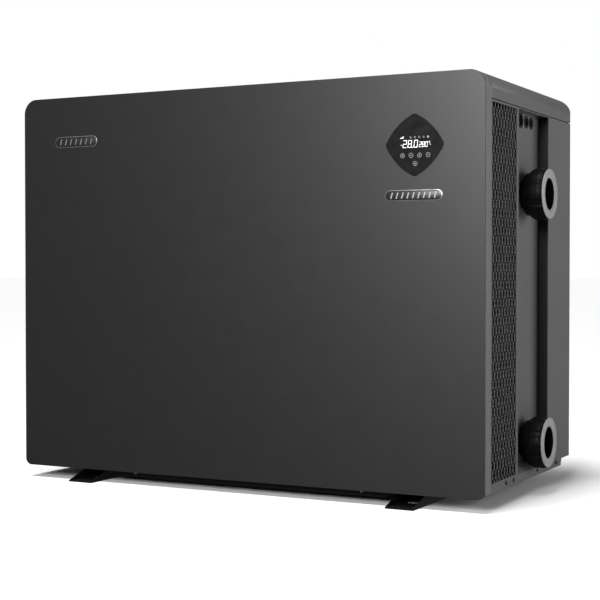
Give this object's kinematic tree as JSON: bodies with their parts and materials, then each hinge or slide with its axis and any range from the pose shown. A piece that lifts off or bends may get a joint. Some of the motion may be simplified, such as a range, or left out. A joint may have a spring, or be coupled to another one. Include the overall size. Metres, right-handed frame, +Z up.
{
  "type": "pool heat pump",
  "caption": "Side-discharge pool heat pump with a flat front panel, touch display, perforated air outlets, service recess with two water unions, and steel channel feet.",
  "frame": {"origin": "centre of the overall box on the ground, under the unit", "axes": "+X to the right seen from the front, towards the water unions; +Y from the front panel to the rear; +Z up"},
  "size_m": [0.8656, 0.461, 0.648],
  "materials": {
    "panel_paint": "fine satin powder coat",
    "cabinet_paint": "fine satin powder coat",
    "grille_paint": "satin powder coat",
    "black_paint": "satin powder coat",
    "seal_rubber": "matt",
    "galvanised_steel": "galvanised",
    "cast_aluminium": "as cast",
    "bright_steel": "ground",
    "fan_plastic": "glass filled, satin",
    "fin_aluminium": "hydrophilic coating",
    "copper": "drawn copper tube, slightly dull",
    "compressor_paint": "gloss black",
    "winding_copper": "varnished winding",
    "valve_brass": "machined",
    "coil_blue": "moulded",
    "shell_plastic": "moulded",
    "titanium": "drawn tube",
    "union_black": "moulded, satin",
    "union_grey": "moulded, matt",
    "white_plastic": "moulded",
    "circuit_green": "solder resist",
    "display_black": "smoked and glossy",
    "badge_silver": "satin"
  },
  "bodies": {
    "cabinet": {"front_panel": "panel_paint", "panel_gasket": "seal_rubber", "front_frame": "cabinet_paint", "lid": "cabinet_paint", "right_side_panel": "cabinet_paint", "right_grille": "grille_paint", "left_side_panel": "cabinet_paint", "left_grille": "grille_paint", "left_intake_guard": "black_paint", "rear_guard": "black_paint", "rear_panel": "cabinet_paint", "base_pan": "black_paint", "left_foot": "black_paint", "right_foot": "black_paint", "bulkhead": "galvanised_steel", "inlet_ring": "fan_plastic", "partition": "galvanised_steel", "motor_bracket": "galvanised_steel", "fan_motor": "cast_aluminium", "evaporator_fins": "fin_aluminium", "evaporator_bends": "copper", "compressor_shell": "compressor_paint", "compressor_stator": "winding_copper", "compressor_bearings": "bright_steel", "compressor_grommets": "seal_rubber", "accumulator": "compressor_paint", "reversing_valve": "valve_brass", "expansion_valve": "valve_brass", "valve_coils": "coil_blue", "filter_drier": "copper", "refrigerant_pipes": "copper", "exchanger_shell": "shell_plastic", "exchanger_cap": "shell_plastic", "titanium_coil": "titanium", "upper_stub": "union_black", "lower_stub": "union_black", "union_o_rings": "seal_rubber", "flow_switch": "shell_plastic", "control_box": "galvanised_steel", "control_board": "circuit_green", "heat_sink": "cast_aluminium", "terminal_block": "white_plastic", "display_glass": "display_black", "display_housing": "shell_plastic", "casing_screws": "bright_steel", "foot_bolts": "bright_steel", "cable_grommets": "seal_rubber", "name_badges": "badge_silver", "condensate_drain": "shell_plastic"},
    "fan": {"fan_shaft": "bright_steel", "impeller": "fan_plastic", "impeller_nut": "bright_steel"},
    "crank": {"compressor_rotor": "bright_steel"},
    "upper_tail_body": {"upper_tail": "union_grey"},
    "upper_nut_body": {"upper_union_nut": "union_black"},
    "lower_tail_body": {"lower_tail": "union_grey"},
    "lower_nut_body": {"lower_union_nut": "union_black"},
    "valve_slide_body": {"reversing_slide": "white_plastic"},
    "needle_body": {"expansion_needle": "bright_steel"},
    "paddle_body": {"flow_paddle": "white_plastic"}
  },
  "joints": [
    {"name": "fan_spin", "type": "hinge", "parent": "cabinet", "child": "fan", "pos_m": [-0.0527, -0.1325, 0.3205], "axis": [0, 1, 0], "continuous": true},
    {"name": "crank_spin", "type": "hinge", "parent": "cabinet", "child": "crank", "pos_m": [0.2373, 0.1395, 0.1805], "axis": [0, 0, 1], "continuous": true},
    {"name": "upper_union_pull", "type": "slide", "parent": "cabinet", "child": "upper_tail_body", "axis": [1, 0, 0], "range_m": [0, 0.012]},
    {"name": "upper_union_turn", "type": "hinge", "parent": "upper_tail_body", "child": "upper_nut_body", "pos_m": [0.4173, 0.0125, 0.4765], "axis": [1, 0, 0], "range_deg": [0, 1440]},
    {"name": "lower_union_pull", "type": "slide", "parent": "cabinet", "child": "lower_tail_body", "axis": [1, 0, 0], "range_m": [0, 0.012]},
    {"name": "lower_union_turn", "type": "hinge", "parent": "lower_tail_body", "child": "lower_nut_body", "pos_m": [0.4173, 0.0125, 0.0825], "axis": [1, 0, 0], "range_deg": [0, 1440]},
    {"name": "reversing_shift", "type": "slide", "parent": "cabinet", "child": "valve_slide_body", "axis": [1, 0, 0], "range_m": [0, 0.04]},
    {"name": "needle_lift", "type": "slide", "parent": "cabinet", "child": "needle_body", "axis": [0, 0, 1], "range_m": [0, 0.003]},
    {"name": "paddle_swing", "type": "hinge", "parent": "cabinet", "child": "paddle_body", "pos_m": [0.3053, 0.0125, 0.4885], "axis": [0, -1, 0], "range_deg": [0, 20], "stiffness_Nm_per_rad": 0.02}
  ],
  "couplings": [
    {"joint": "upper_union_pull", "follows": "upper_union_turn", "m_per_rad": 0.000477},
    {"joint": "lower_union_pull", "follows": "lower_union_turn", "m_per_rad": 0.000477}
  ]
}
